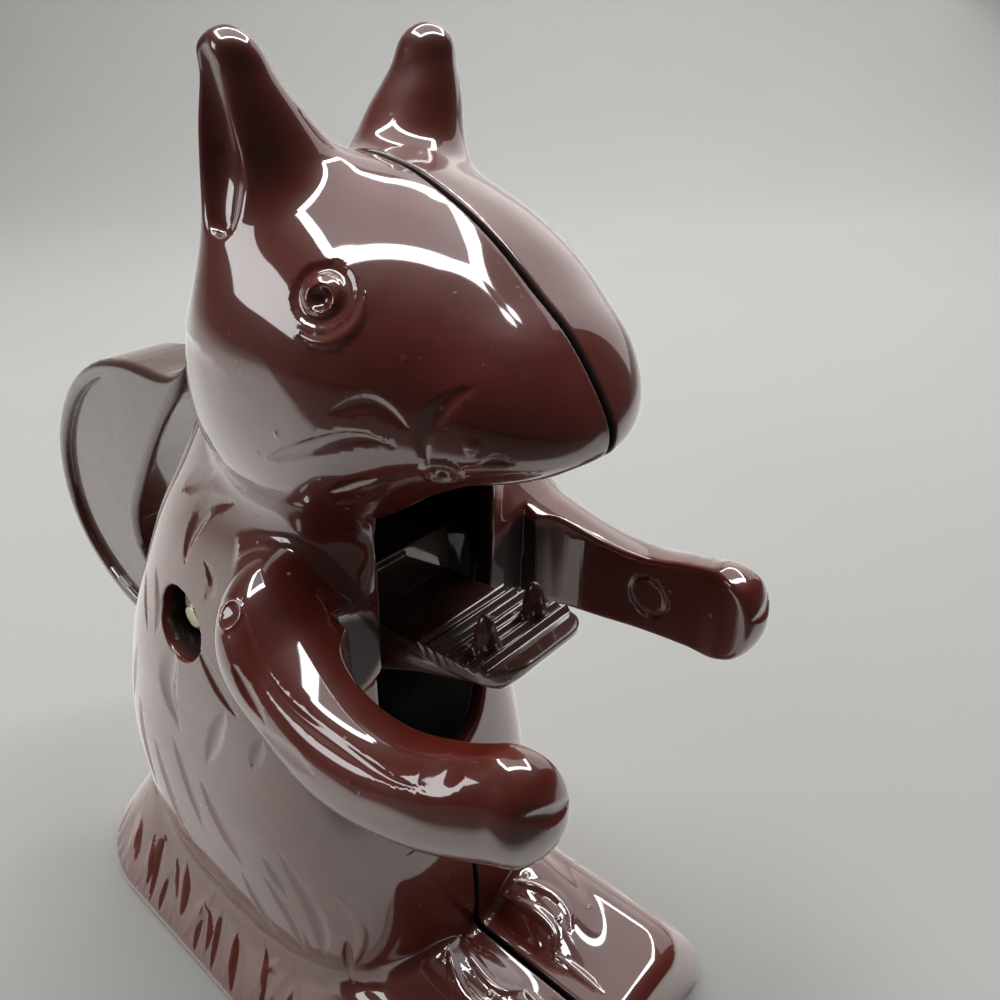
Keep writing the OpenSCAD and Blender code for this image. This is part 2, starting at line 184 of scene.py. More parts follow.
class Field2d:
    # signed distance to a closed outline, looked up on a fine sheet of reach and height
    def __init__(self, outline, cell, border=8):
        o = np.array(outline, float)
        self.cell = cell
        self.low = o.min(0) - border
        count = np.ceil((o.max(0) + border - self.low) / cell).astype(int) + 1
        y, z = np.meshgrid(*[self.low[i] + cell * np.arange(count[i]) for i in range(2)], indexing="ij")
        q = np.stack([y.ravel(), z.ravel()], 1)
        far = nearPath(q, np.vstack([o, o[:1]]))[0]
        inside = np.zeros(len(q), bool)
        for a, b in zip(o, np.roll(o, -1, axis=0)):
            if a[1] != b[1]:
                crosses = (a[1] > q[:, 1]) != (b[1] > q[:, 1])
                inside ^= crosses & (q[:, 0] < a[0] + (q[:, 1] - a[1]) * (b[0] - a[0]) / (b[1] - a[1]))
        self.sheet = np.where(inside, -far, far).reshape(y.shape)

    def at(self, p):
        g = (p[:, 1:] - self.low) / self.cell
        g = np.clip(g, 0, np.array(self.sheet.shape) - 1.001)
        i = g.astype(int)
        f = g - i
        s = self.sheet
        low = s[i[:, 0], i[:, 1]] * (1 - f[:, 0]) + s[i[:, 0] + 1, i[:, 1]] * f[:, 0]
        high = s[i[:, 0], i[:, 1] + 1] * (1 - f[:, 0]) + s[i[:, 0] + 1, i[:, 1] + 1] * f[:, 0]
        return low * (1 - f[:, 1]) + high * f[:, 1]


def inParts(distance, p, part=60000):
    return np.concatenate([distance(p[i:i + part]) for i in range(0, len(p), part)])


def sample(distance, low, high, cell, coarse=4):
    # fine samples near the skin, coarse ones elsewhere
    count = np.ceil((high - low) / (cell * coarse)).astype(int) + 1
    axes = [low[i] + cell * coarse * (np.arange(count[i]) + 0.5) - cell / 2 for i in range(3)]
    grid = np.stack(np.meshgrid(*axes, indexing="ij"), -1).reshape(-1, 3)
    rough = inParts(distance, grid).reshape(count)
    full = rough.repeat(coarse, 0).repeat(coarse, 1).repeat(coarse, 2)
    blocks = np.argwhere(np.abs(rough) < 1.7 * cell * coarse)
    offsets = np.stack(np.meshgrid(*[np.arange(coarse)] * 3, indexing="ij"), -1).reshape(-1, 3)
    cells = (blocks[:, None] * coarse + offsets[None]).reshape(-1, 3)
    full[tuple(cells.T)] = inParts(distance, low + cell * cells)
    return full


def skin(field, low, cell):
    # one vertex in each cell that the skin passes, joined across each grid edge that it cuts
    inside = field < 0
    shape = tuple(n - 1 for n in field.shape)
    count = sum(inside[i:i + shape[0], j:j + shape[1], k:k + shape[2]].astype(np.int8)
                for i in (0, 1) for j in (0, 1) for k in (0, 1))
    cells = np.argwhere((count > 0) & (count < 8))
    total = np.zeros((len(cells), 3))
    number = np.zeros(len(cells))
    for axis in range(3):
        others = [a for a in range(3) if a != axis]
        for j in (0, 1):
            for k in (0, 1):
                start = cells.copy()
                start[:, others[0]] += j
                start[:, others[1]] += k
                end = start.copy()
                end[:, axis] += 1
                a, b = field[tuple(start.T)], field[tuple(end.T)]
                cut = (a < 0) != (b < 0)
                t = a[cut] / (a[cut] - b[cut])
                point = start[cut].astype(float)
                point[:, axis] += t
                total[cut] += point
                number[cut] += 1
    points = low + cell * total / number[:, None]
    index = np.full(shape, -1)
    index[tuple(cells.T)] = np.arange(len(cells))
    quads = []
    for axis in range(3):
        b, c = [(axis + 1) % 3, (axis + 2) % 3]
        first = np.take(inside, range(field.shape[axis] - 1), axis)
        second = np.take(inside, range(1, field.shape[axis]), axis)
        at = np.argwhere(first != second)
        at = at[(at[:, b] > 0) & (at[:, c] > 0) & (at[:, b] < shape[b]) & (at[:, c] < shape[c])]
        outward = first[tuple(at.T)]
        ring = []
        for stepB, stepC in ((0, 0), (1, 0), (1, 1), (0, 1)):
            cell4 = at.copy()
            cell4[:, b] -= stepB
            cell4[:, c] -= stepC
            ring.append(index[tuple(cell4.T)])
        quad = np.stack(ring, 1)
        quad[outward] = quad[outward][:, ::-1]
        quads.append(quad[:, ::-1])
    return points, np.concatenate(quads)


def uphill(distance, p, step=0.09):
    # slope of the field, from four samples round each point
    slope = np.zeros_like(p)
    for way in ((1, -1, -1), (-1, -1, 1), (-1, 1, -1), (1, 1, 1)):
        way = np.array(way, float)
        slope += way * inParts(distance, p + step * way)[:, None]
    return slope / (4 * step)


def settle(distance, p, most, rounds):
    # moves points onto the skin
    for _ in range(rounds):
        slope = uphill(distance, p)
        size = (slope ** 2).sum(1)
        shift = inParts(distance, p) / np.maximum(size, 0.2)
        move = slope * shift[:, None]
        length = np.linalg.norm(move, axis=1)
        p = p - move * np.minimum(1, most / np.maximum(length, 1e-9))[:, None]
    return p


def normalsAt(distance, p):
    slope = uphill(distance, p)
    return slope / np.maximum(np.linalg.norm(slope, axis=1), 1e-9)[:, None]


class Memory:
    # results for points of one half, which the same points of the other half take over
    def __init__(self):
        self.keys = np.zeros(0, np.int64)
        self.values = None

    def recall(self, p, work):
        keys = ((np.round(p * 2000).astype(np.int64) + 400000) * [1, 1 << 20, 1 << 40]).sum(1)
        if self.values is None:
            order = np.argsort(keys)
            result = work(p)
            self.keys, self.values = keys[order], result[order]
            return result
        at = np.clip(np.searchsorted(self.keys, keys), 0, len(self.keys) - 1)
        result = self.values[at]
        fresh = self.keys[at] != keys
        result[fresh] = work(p[fresh])
        return result


def dropCrumbs(points, quads):
    # keeps the largest connected skin
    label = np.arange(len(points))
    while True:
        lowest = label[quads].min(1)
        fresh = label.copy()
        for k in range(4):
            np.minimum.at(fresh, quads[:, k], lowest)
        fresh = fresh[fresh]
        if (fresh == label).all():
            break
        label = fresh
    kept = np.bincount(label).argmax()
    keep = label == kept
    number = np.cumsum(keep) - 1
    faces = quads[keep[quads[:, 0]]]
    return points[keep], number[faces]


def bends(points, quads, most=16):
    # quads whose neighbours turn away from them by many degrees
    corners = points[quads]
    face = np.cross(corners[:, 2] - corners[:, 0], corners[:, 3] - corners[:, 1])
    total = np.zeros_like(points)
    for k in range(4):
        np.add.at(total, quads[:, k], face)
    total /= np.maximum(np.linalg.norm(total, axis=1), 1e-9)[:, None]
    around = total[quads]
    turn = np.minimum((around[:, 0] * around[:, 2]).sum(1), (around[:, 1] * around[:, 3]).sum(1))
    return turn < math.cos(math.radians(most))


def refine(points, quads, marked):
    # splits the marked quads in four, and gives their neighbours the new corners too
    ends = np.stack([quads, np.roll(quads, -1, axis=1)], -1)
    lines = np.sort(ends, -1).reshape(-1, 2)
    unique, which = np.unique(lines, axis=0, return_inverse=True)
    which = which.reshape(-1, 4)
    split = np.zeros(len(unique), bool)
    split[which[marked].ravel()] = True
    number = np.cumsum(split) - 1 + len(points)
    middles = points[unique[split]].mean(1)
    centres = points[quads[marked]].mean(1)
    centre = len(points) + len(middles) + np.arange(marked.sum())
    q, m = quads[marked], number[which[marked]]
    fine = np.concatenate([np.stack([q[:, k], m[:, k], centre, m[:, k - 1]], 1) for k in range(4)])
    touched = ~marked & split[which].any(1)
    faces = quads[~marked & ~touched].tolist() + fine.tolist()
    for quad, edges in zip(quads[touched].tolist(), which[touched].tolist()):
        face = []
        for corner, edge in zip(quad, edges):
            face.append(corner)
            if split[edge]:
                face.append(int(number[edge]))
        faces.append(face)
    return np.vstack([points, middles, centres]), faces


def smoothMesh(name, points, faces):
    mesh = bpy.data.meshes.new(name)
    mesh.from_pydata(points, [], faces)
    mesh.polygons.foreach_set("use_smooth", [True] * len(mesh.polygons))
    return mesh


def addObject(name, data):
    item = bpy.data.objects.new(name, data)
    bpy.context.collection.objects.link(item)
    return item


def carve(name, distance, low, high, cell, mirrored=False, tints=None, fineWhere=None, memory=None):
    # piece with the mesh of a field
    low, high = np.array(low, float), np.array(high, float)
    points, quads = skin(sample(distance, low, high, cell), low, cell)
    points, quads = dropCrumbs(points, quads)
    faces = quads.tolist()
    first, second, third = memory or [Memory() for _ in range(3)]
    if fineWhere is not None:
        points = first.recall(points, lambda p: settle(distance, p, 0.5 * cell, 1))
        points, faces = refine(points, quads, fineWhere(points[quads].mean(1)) | bends(points, quads))
    points = second.recall(points, lambda p: settle(distance, p, 0.5 * cell, 1 if fineWhere else 2))
    normals = third.recall(points, lambda p: normalsAt(distance, p))
    values = {key: tint(points) for key, tint in (tints or {}).items()}
    if mirrored:
        points, normals = points * [-1, 1, 1], normals * [-1, 1, 1]
        faces = [face[::-1] for face in faces]
    mesh = smoothMesh(name, ((points + [0, pivotAt[1], 0]) * mm).tolist(), faces)
    mesh.normals_split_custom_set_from_vertices(normals.tolist())
    for key, value in values.items():
        layer = mesh.attributes.new(key, "FLOAT", "POINT")
        layer.data.foreach_set("value", value.astype(np.float32))
    print(f"{name}: {len(points)} points")
    return addObject(name, mesh)


casting = {
    "wall": 4, "seamGap": 0.8, "seamLip": 0.8, "edge": 0.9,
    "mouthHalf": 14.5, "mouthLow": pivotZ - 10, "mouthDrop": 20, "mouthBack": -28,
    "anvilZ": 150, "anvilT": 8, "anvilBack": -26, "headFront": -70,
    "toothPitch": 3, "toothDepth": 1.3, "toothFront": -66, "toothBack": -39,
    "ribReach": -32, "ribInner": 19.7, "ribHalf": 1, "ribZ": 122, "ribTall": 26,
    "chestHalf": 24, "chestLow": (-41, pivotZ - 12), "chestHigh": (-44.3, pivotZ + 28), "chestOver": 6,
    "armBack": -46, "armZ": pivotZ - 9, "armTall": 35,
    "slotHalf": 12.5, "slotFront": 20, "slotLow": 29, "slotHigh": pivotZ - 4,
    "slotLevel": 30, "slotLean": 0.4,
    "boltHole": 3.1, "pocketR": 7.75, "pocketFloor": 20, "bossR": 11, "bossFace": 12.8,
    "screwBossR": 6.5, "screwFloor": 19, "screwPocketR": 5.25, "screwR": 2.6, "screwGrip": 16,
    "pinBossR": 5, "pinR": 2.1, "pinHalf": 6.4, "pinLen": 12,
    "headScrew": (-14, 162), "baseScrew": (-8, 12.5), "chestPin": (-43.5, 58), "rumpPin": (59, 13),
}
# Inner face of the left arm from the paw to the chest: reach and distance from the middle
armFace = smoothPath([(-99, 22), (-88, 25.4), (-80, 28.4), (-70, 29.7), (-58, 29.7), (-50, 28),
                      (-47, 24.5), (-46, 20)], 6)
plinthForm = {
    # height, half width, front reach, rear reach, front and rear corner radius
    "rows": np.array([[0, 42.5, -88, 76, 9, 34], [3, 42.5, -88, 76, 9, 34],
                      [22, 29.5, -88, 63.5, 9, 24], [24, 28, -86.5, 61.5, 9, 23]], float),
    "top": 24, "lean": 0.82, "edge": 3.5,
}


def acrossMiddle(rows):
    # rows of a form on the middle plane: place, lowest, highest, half width
    return [(at, 0, (low + high) / 2, half, (high - low) / 2) for at, low, high, half in rows]


# Torso: height, front and back reach, half width
torsoForm = Loft(2, acrossMiddle([
    (4, -47, 65.5, 32.5), (18, -47, 65.5, 32.5), (32, -49, 66.5, 35), (48, -48.5, 65.5, 36),
    (62, -46.5, 61.5, 36), (76, -44, 55.5, 35), (90, -41.5, 48.5, 33.5), (104, -42, 40.5, 31),
    (118, -45, 32.5, 28), (131, -46.5, 23.5, 23.5), (144, -46, 13.5, 20), (156, -40, -3, 17)]),
    power=(3.2, 2.05), openEnds=(True, True))
# Head: reach, lowest and highest height, half width
headForm = Loft(1, acrossMiddle([
    (1.2, 149.5, 149.5, 0), (-0.5, 142, 157, 11), (-4, 136, 165.5, 17.5), (-10, 131, 176, 24),
    (-20, 127.5, 185, 28.2), (-30, 128, 190.2, 30), (-40, 131.5, 189.8, 30), (-50, 137.5, 186, 28.5),
    (-59, 143.5, 180.7, 25), (-66, 147, 175, 21.5), (-72, 149.5, 170, 17.5), (-77, 152.3, 163.5, 11.5),
    (-80, 156.5, 156.5, 0)]), power=(2.2, 2.2))
# Arm: reach, centre across, centre height, half width, half height
armForm = Loft(1, [
    (-20, -20, 117, 10, 10), (-32, -24, 117, 16, 13), (-44, -27, 111.5, 14.3, 11.3),
    (-56, -31, 108.6, 11, 9.5), (-67, -32.3, 109, 9, 8.6), (-78, -31, 111.5, 8.3, 9.2),
    (-86, -29, 113.8, 7.5, 9.4), (-91, -29, 114.7, 5.7, 7.5), (-94, -28.5, 115, 0, 0)],
    power=(2.2, 2.2), openEnds=(False, True))
# Ear: height, centre across, centre along, half width, half depth
earForm = Loft(2, [
    (170, -13, -25.5, 11, 11.5), (184, -13, -26, 10.5, 10.7), (194, -15, -27.3, 8.4, 8.5),
    (202, -17.5, -28, 4.9, 5.8), (206, -18.4, -28, 3.6, 4.4), (208, -18.5, -28, 0, 0)],
    openEnds=(True, False))
earHollowForm = Loft(2, [
    (178, -21, -28.5, 0, 0), (183, -23.5, -28, 3.6, 4.2), (190, -24, -27.6, 4.6, 5),
    (198, -23.8, -27.3, 4.2, 4), (203, -23.2, -27.2, 2.8, 2.8), (206.3, -22.5, -27.2, 0, 0)])
# Foot: reach, centre across, centre height, half width, half height
footForm = Loft(1, [
    (-30, -15, 24, 8, 6), (-48, -15, 24, 9.5, 6), (-60, -13.5, 23.4, 9, 4), (-68, -12, 22.6, 6.5, 2.5),
    (-72.5, -11, 22, 0, 0)], openEnds=(False, True))
# Reach of the fillet between two forms
joined = {"ear": 7, "arm": 3.2, "head": 4.5, "foot": 3, "plinth": 3.4, "hollow": 2}


def plinthSide(p):
    # distance to the leaning side of the plinth
    f = plinthForm
    rows = f["rows"]
    half, front, rear, frontR, rearR = [np.interp(p[:, 2], rows[:, 0], rows[:, i]) for i in range(1, 6)]
    y = p[:, 1] - (front + rear) / 2
    radius = np.where(y < 0, frontR, rearR)
    return f["lean"] * roundCorner(np.abs(p[:, 0]) - half, np.abs(y) - (rear - front) / 2, radius)


def channel(p):
    # way of the lever: the mouth between the arms in front, and the slot down the back
    f = casting
    x, y, z = np.abs(p[:, 0]), p[:, 1], p[:, 2]
    half = f["mouthHalf"]
    tooth = (y - f["toothFront"]) / f["toothPitch"]
    ribbed = (y > f["toothFront"]) & (y < f["toothBack"]) & (x < half - 1)
    roof = f["anvilZ"] + np.where(ribbed, f["toothDepth"] * (1 - np.abs(2 * (tooth % 1) - 1)), 0)
    behind = y - f["mouthBack"]
    mouth = common(x - half, behind, z - roof, f["mouthLow"] - z)
    bowl = np.hypot(x / half, (z - f["mouthLow"]) / f["mouthDrop"])
    foot = common((bowl - 1) * half, behind, z - f["mouthLow"] - 0.5)
    face = x - np.interp(y, armFace[:, 0], armFace[:, 1])
    arms = common(face, y - f["armBack"], np.abs(z - f["armZ"]) - f["armTall"])
    low, high = f["chestLow"], f["chestHigh"]
    lean = (high[0] - low[0]) / (high[1] - low[1])
    chest = common(y - low[0] - lean * (z - low[1]), x - f["chestHalf"],
                   low[1] - z, z - high[1] - f["chestOver"])
    sinks = f["slotLean"] * np.maximum(0, f["slotLevel"] - y)
    back = common(x - f["slotHalf"], f["slotFront"] - y, f["slotLow"] - z, z - f["slotHigh"] + sinks)
    front = fillet(np.minimum(mouth, foot), fillet(arms, chest, 2.5), 0.6)
    return np.minimum(front, back)


strokes = []


def relief(p):
    # how far the strokes sink the skin, or raise it where negative
    sunk = np.zeros(len(p))
    for stroke in strokes:
        reach = stroke["width"] + 0.5
        near = np.all((p > stroke["low"] - reach) & (p < stroke["high"] + reach), axis=1)
        if not near.any():
            continue
        far, along = nearPath(p[near], stroke["path"])
        taper = np.sin(np.pi * np.clip(along, 0.02, 0.98)) ** 0.6 if stroke["leaf"] else 1
        sunk[near] += stroke["depth"] * taper * bell(far / (stroke["width"] * np.maximum(taper, 0.3)))
    return sunk


def carveStroke(points, width, depth, leaf=True, pieces=4):
    # a stroke of the carving tool along a path
    strokes.append({"path": smoothPath(points, pieces), "width": width, "depth": depth, "leaf": leaf})


def layStrokes():
    # puts all the paths on the skin
    paths = [stroke["path"] for stroke in strokes]
    laid = settle(plainForm, np.concatenate(paths), 3, 3)
    for stroke, path in zip(strokes, np.split(laid, np.cumsum([len(path) for path in paths])[:-1])):
        stroke.update(path=path, low=path.min(0), high=path.max(0))


def ringPath(centre, radius, count=10):
    # closed path round a place on the skin
    centre = np.array(centre, float)
    normal = normalsAt(plainForm, centre[None])[0]
    across = np.cross(normal, (0, -1, 0.2))
    across /= np.linalg.norm(across)
    along = np.cross(across, normal)
    turn = 2 * np.pi * np.arange(count + 1) / count
    return centre + radius * (np.cos(turn)[:, None] * across + np.sin(turn)[:, None] * along)


def plainForm(p):
    # the whole figure, not yet carved or hollow
    torso, head = torsoForm.distance(p), headForm.distance(p)
    plinth = trim(plinthSide(p), p[:, 2] - plinthForm["top"], plinthForm["edge"])
    plinth = np.maximum(plinth, -p[:, 2])
    ear = trim(earForm.distance(p), -earHollowForm.distance(p), 1.6)
    head = fillet(head, ear, joined["ear"])
    body = fillet(torso, armForm.distance(p), joined["arm"])
    body = fillet(body, head, joined["head"])
    base = fillet(plinth, footForm.distance(p), joined["foot"])
    return fillet(base, body, joined["plinth"])


def outerForm(p):
    whole = plainForm(p)
    near = np.abs(whole) < 3
    whole[near] += relief(p[near])
    return whole


def innerForm(p):
    f = casting
    torso = torsoForm.distance(p) + f["wall"]
    head = headForm.distance(p) + f["wall"]
    floor = np.where(p[:, 1] < f["anvilBack"], f["anvilZ"] + f["anvilT"], 0)
    head = common(head, floor - p[:, 2], f["headFront"] - p[:, 1])
    plinth = np.maximum(plinthSide(p) + f["wall"], p[:, 2] - plinthForm["top"] + f["wall"])
    return fillet(fillet(torso, plinth, joined["hollow"]), head, joined["hollow"])


def markedFace(p):
    # depth of the ring on the inner face of the arm
    f = ejectorMark
    far = np.hypot(p[:, 1] - f["at"][1], p[:, 2] - f["at"][2])
    face = bell((p[:, 0] - f["at"][0]) / f["deep"])
    return f["depth"] * face * bell((far - f["ringR"]) / f["width"])


def castingField(p, screws=False):
    f = casting
    outer = outerForm(p)
    boss = rod(p, f["bossR"], (0, pivotZ), end=-f["bossFace"])
    for at in (f["headScrew"], f["baseScrew"]):
        boss = np.minimum(boss, rod(p, f["screwBossR"], at))
    for at in (f["chestPin"], f["rumpPin"]):
        boss = np.minimum(boss, rod(p, f["pinBossR"], at, start=-f["pinLen"]))
    void = trim(fillet(innerForm(p), channel(p), 0.8), -boss, 0.8)
    rib = common(np.abs(p[:, 1] - f["ribReach"]) - f["ribHalf"], p[:, 0] + f["ribInner"],
                 np.abs(p[:, 2] - f["ribZ"]) - f["ribTall"])
    void = trim(void, -rib, 0.3)
    body = trim(outer, -void, f["edge"])
    body = body + markedFace(p)
    body = trim(body, p[:, 0] + f["seamGap"] / 2, f["seamLip"])
    cut = rod(p, f["boltHole"], (0, pivotZ))
    cut = np.minimum(cut, rod(p, f["pocketR"], (0, pivotZ), end=-f["pocketFloor"]))
    for at in (f["chestPin"], f["rumpPin"]):
        cut = np.minimum(cut, rod(p, f["pinR"], at, start=-f["pinHalf"]))
    for at in (f["headScrew"], f["baseScrew"]):
        cut = np.minimum(cut, rod(p, f["screwR"], at, start=-1e3 if screws else -f["screwGrip"]))
        if screws:
            cut = np.minimum(cut, rod(p, f["screwPocketR"], at, end=-f["screwFloor"]))
    return trim(body, -cut, 0.5)


def hollowShadeAndSeamTint(p):
    # 1 where the skin lies in the hollow, the channel or the seam, which the enamel paints near-black:
    # painted shade in the hollow and the channel, a dark joint at the seam
    deep = np.clip((-plainForm(p) - 1) / 1.5, 0, 1) * (0.3 + 0.7 * np.clip((p[:, 1] + 50) / 4, 0, 1))
    return np.maximum(deep, np.clip((p[:, 0] + casting["seamGap"] / 2 + 0.7) / 0.4, 0, 1))


# how sunk the skin is, which the enamel uses to paint shade into the grooves of the carving
def grooveShadeTint(p):
    return np.clip(0.5 + relief(p) / 2, 0, 1)


# Carving of the right half: half width, depth (below zero for a ridge), and places across, along and up
carving = {
    "eyelids": [
        (1.3, -0.6, [(-20.5, -54.6, 177), (-22.8, -55.3, 174), (-24.8, -54, 172.1),
                      (-26.3, -51.4, 171.2), (-27.4, -48, 172)])],
    "whiskers": [
        (1.15, 0.6, [(-27.4, -53, 162.2), (-25.4, -57.9, 164.1), (-24.2, -60.7, 163.4), (-23, -63.4, 161.2)]),
        (1.25, 0.65, [(-29.1, -39.5, 152), (-27.8, -51.1, 157.1), (-25.8, -56.8, 159), (-24, -60.8, 158.5)]),
        (0.9, 0.45, [(-25.2, -47.6, 147.5), (-24.5, -52.6, 150.2), (-23.2, -56.8, 152)]),
        (1.4, 0.6, [(-23.6, -45.8, 144.3), (-22.7, -51.6, 147), (-22, -57, 150.4)])],
    "muzzle": [
        (1.9, 0.55, [(-20.8, -64.6, 156.6), (-21.8, -65, 159.5), (-21.4, -66.1, 162.1), (-19.6, -67.8, 165),
                     (-17, -69.7, 166.6)]),
        (1.2, 0.75, [(-17.5, -71.2, 156.4), (-16.3, -72.8, 157), (-14.8, -74.2, 156.5)])],
    "neck": [
        (1.6, 0.5, [(-21.3, -9, 138), (-21.7, -2.6, 134), (-22, 4.5, 129)]),
        (1.5, 0.65, [(-22.7, -15.1, 133.5), (-23.7, -7.1, 130.1), (-26.1, -2.7, 123.2), (-27.5, -2, 118)]),
        (1.3, 0.45, [(-15.5, 8.5, 140), (-17.5, 12.5, 133), (-19.5, 17, 124), (-20.5, 21, 116)]),
        (1.0, 0.4, [(-25.8, 21.5, 105), (-28.4, 18, 100), (-30, 15, 95)]),
        (1.2, 0.5, [(-28.6, 12.5, 111), (-30.2, 9.5, 104), (-31.4, 10.5, 97)]),
        (0.9, 0.4, [(-27.4, -9, 120.5), (-28.2, -11.7, 117), (-29.2, -9.4, 113)])],
    "haunch": [
        (2.4, 0.75, [(-32.3, 1.8, 97), (-33.9, 6, 87), (-34.8, 3, 78)]),
        (1.5, 0.6, [(-32.8, -15, 91), (-34.1, -10.6, 81.9), (-35, -7, 74.5)]),
        (1.2, 0.45, [(-31.2, -24.6, 88.5), (-32.8, -21.5, 80.5)]),
        (1.3, 0.5, [(-31.4, -6.6, 102), (-32.1, -12.1, 96.7), (-32.2, -18.5, 91.5)]),
        (1.3, 0.55, [(-35.4, 6.4, 73), (-36, 3.4, 62.4), (-36.1, 1, 50.5)]),
        (1.5, 0.65, [(-35.7, -3.2, 67), (-35.9, -7.3, 57.8), (-35.5, -13.2, 48.8)]),
        (1.1, 0.5, [(-34.4, -22, 56.5), (-33.6, -26.3, 48)]),
        (1.5, 0.6, [(-33.2, -26.4, 60.5), (-32, -31.3, 49.8), (-31.1, -33.3, 40.2), (-30.6, -31.8, 28)]),
        (1.0, -0.35, [(-28.8, -37.3, 54), (-26.7, -40.6, 45.6), (-26.6, -40.7, 38.1), (-27.8, -37, 27.5)]),
        (1.2, 0.55, [(-35.4, -12.2, 45), (-33.4, -17.6, 26.5)]),
        (1.3, 0.6, [(-34.6, -20.6, 50), (-33.2, -26.2, 38.3), (-31.6, -27, 25)]),
        (0.9, 0.8, [(-28.5, -38.4, 38.5), (-27.3, -36.2, 24)]),
        (1.4, 0.5, [(-35.6, 17, 66), (-36.1, 15, 54), (-35.4, 14, 40)]),
        (1.6, 0.6, [(-34, 25, 72), (-35.2, 27, 60), (-35, 26, 46)]),
        (1.3, 0.5, [(-35.2, 34, 52), (-34.8, 35, 42), (-33.4, 34, 31)]),
        (1.5, 0.55, [(-33.6, 24, 88), (-33.6, 30, 78), (-32.8, 36, 66)]),
        (1.3, 0.5, [(-31, 46, 50), (-30.4, 47, 40), (-29, 46, 30)]),
        (1.6, 0.6, [(-29, 34, 92), (-29, 41, 80), (-27.5, 47, 67)])],
    "arm": [
        (1.0, 0.4, [(-34.8, -33.5, 127.4), (-36.5, -37.3, 124.3), (-37.9, -40.8, 121), (-38.7, -45.7, 118.1),
                    (-38.8, -52.3, 116.4), (-38.4, -61.1, 115.6), (-38.3, -71, 116.2), (-37.4, -78, 117.8)]),
        (1.4, 0.55, [(-40.2, -37.6, 119.2), (-40.9, -41.5, 115.8), (-41.1, -46, 113.2)]),
        (1.6, 0.6, [(-41.2, -44.2, 110.9), (-41.8, -51.7, 111.1), (-41.8, -58.4, 110.5)]),
        (1.3, 0.8, [(-25.5, -93, 117), (-29.3, -93.6, 117.7), (-33, -91.5, 119)]),
        (2.2, 0.45, [(-37.5, -76, 118), (-35.4, -79.6, 119.8), (-33.2, -82, 121.2)])],
    "toes": [
        (1.3, -0.45, [(-11, -50, 29), (-15.6, -58, 27.5), (-15, -63.4, 26), (-12.2, -66.4, 25)]),
        (1.3, -0.5, [(-7.6, -50, 27.5), (-9.5, -59.1, 26.4), (-8.9, -64.3, 25.4), (-5.8, -67, 24.3)]),
        (1.0, -0.3, [(-5, -66.6, 24), (-5.6, -71.5, 24), (-5.6, -80.5, 24)])],
}
# How much wider and deeper the strokes of a group are than written above
softer = {"whiskers": (1.5, 0.95), "neck": (1.7, 1.1), "haunch": (1.7, 1.15), "arm": (1.3, 0.9),
          "toes": (1.6, 0.85)}
eye = {"ball": (-23.6, -49.4, 176.8), "ballR": 3.9, "ballUp": 1.0, "socketR": 3.7, "socketWidth": 1.3,
       "socketDepth": 0.6, "pupil": (-24, -49.7, 176.2), "pupilR": 2.1, "pupilDepth": 2.2}
mouthCorner = {"at": (-19.4, -65.8, 154), "width": 1.2, "depth": 1.4, "rimR": 2.3, "rimWidth": 1.1,
               "rimUp": 0.45}
bumps = [  # place, half width, height
    ((-18.6, -70.6, 159.3), 1.4, 0.35), ((-29.8, -86, 122.8), 4.4, 0.5),
    ((-21.2, -62, 169.9), 0.5, 0.12), ((-29.5, -42.9, 156.8), 0.6, 0.15), ((-29.3, -36.7, 151.9), 0.5, 0.12),
    ((-14.3, -51.8, 29.4), 1, 0.15), ((-11.7, -63.3, 26.5), 1, 0.15), ((-20, -66, 24), 1, 0.15)]
shoulderDimple = {"at": (-37, -33, 125.3), "width": 2.6, "depth": 0.7, "rimR": 2.4, "rimWidth": 0.7,
                  "rimUp": 0.15}
# Ring that an ejector pin left on the inner face of the arm
ejectorMark = {"at": (-30.5, -69.9, 109.7), "deep": 3, "ringR": 4.1, "width": 0.75, "depth": 0.4}
# Blades of grass down the sloping side of the plinth, with the lowest and highest that a tip reaches
grass = {"count": 34, "from": -78, "to": 66, "width": 3, "depth": 0.38, "tip": (11, 19), "lean": 6, "seed": 8}


def carveDent(at, width, depth):
    # round dent, or a bump where the depth is below zero
    carveStroke([at, at], width, depth, leaf=False, pieces=1)


def carveRing(at, radius, width, depth):
    carveStroke(ringPath(at, radius), width, depth, leaf=False, pieces=2)


def carveFigure():
    for name, group in carving.items():
        wider, deeper = softer.get(name, (1, 1))
        for width, depth, points in group:
            carveStroke(points, wider * width, deeper * depth)
    for at, width, height in bumps:
        carveDent(at, width, -height)
    f = eye
    carveDent(f["ball"], f["ballR"], -f["ballUp"])
    carveRing(f["ball"], f["socketR"], f["socketWidth"], f["socketDepth"])
    carveDent(f["pupil"], f["pupilR"], f["pupilDepth"])
    for f in (mouthCorner, shoulderDimple):
        carveDent(f["at"], f["width"], f["depth"])
        carveRing(f["at"], f["rimR"], f["rimWidth"], -f["rimUp"])
    f = grass
    chance = random.Random(f["seed"])
    for i in range(f["count"]):
        y = f["from"] + (f["to"] - f["from"]) * (i + chance.uniform(-0.3, 0.3)) / f["count"]
        lean = chance.uniform(-f["lean"], f["lean"])
        top = chance.uniform(*f["tip"])
        carveStroke([(-42, y, 3.5), (-38, y + 0.3 * lean, 9), (-33, y + lean, top)],
                    f["width"] * chance.uniform(0.7, 1.2), f["depth"] * chance.choice((-1, 1)))
    layStrokes()


carveFigure()
print(f"carved {len(strokes)} strokes")

castingCell = 0.85
castingTints = {"inside": hollowShadeAndSeamTint, "sunk": grooveShadeTint}
castingLow, castingHigh = (-47, -97, -3), (3, 80, 212)


def fineDetail(p):
    # where the carving or an edge is too small for the coarse mesh
    return (np.abs(relief(p)) > 0.008) | (markedFace(p) > 0.01)


halves = [Memory() for _ in range(3)]


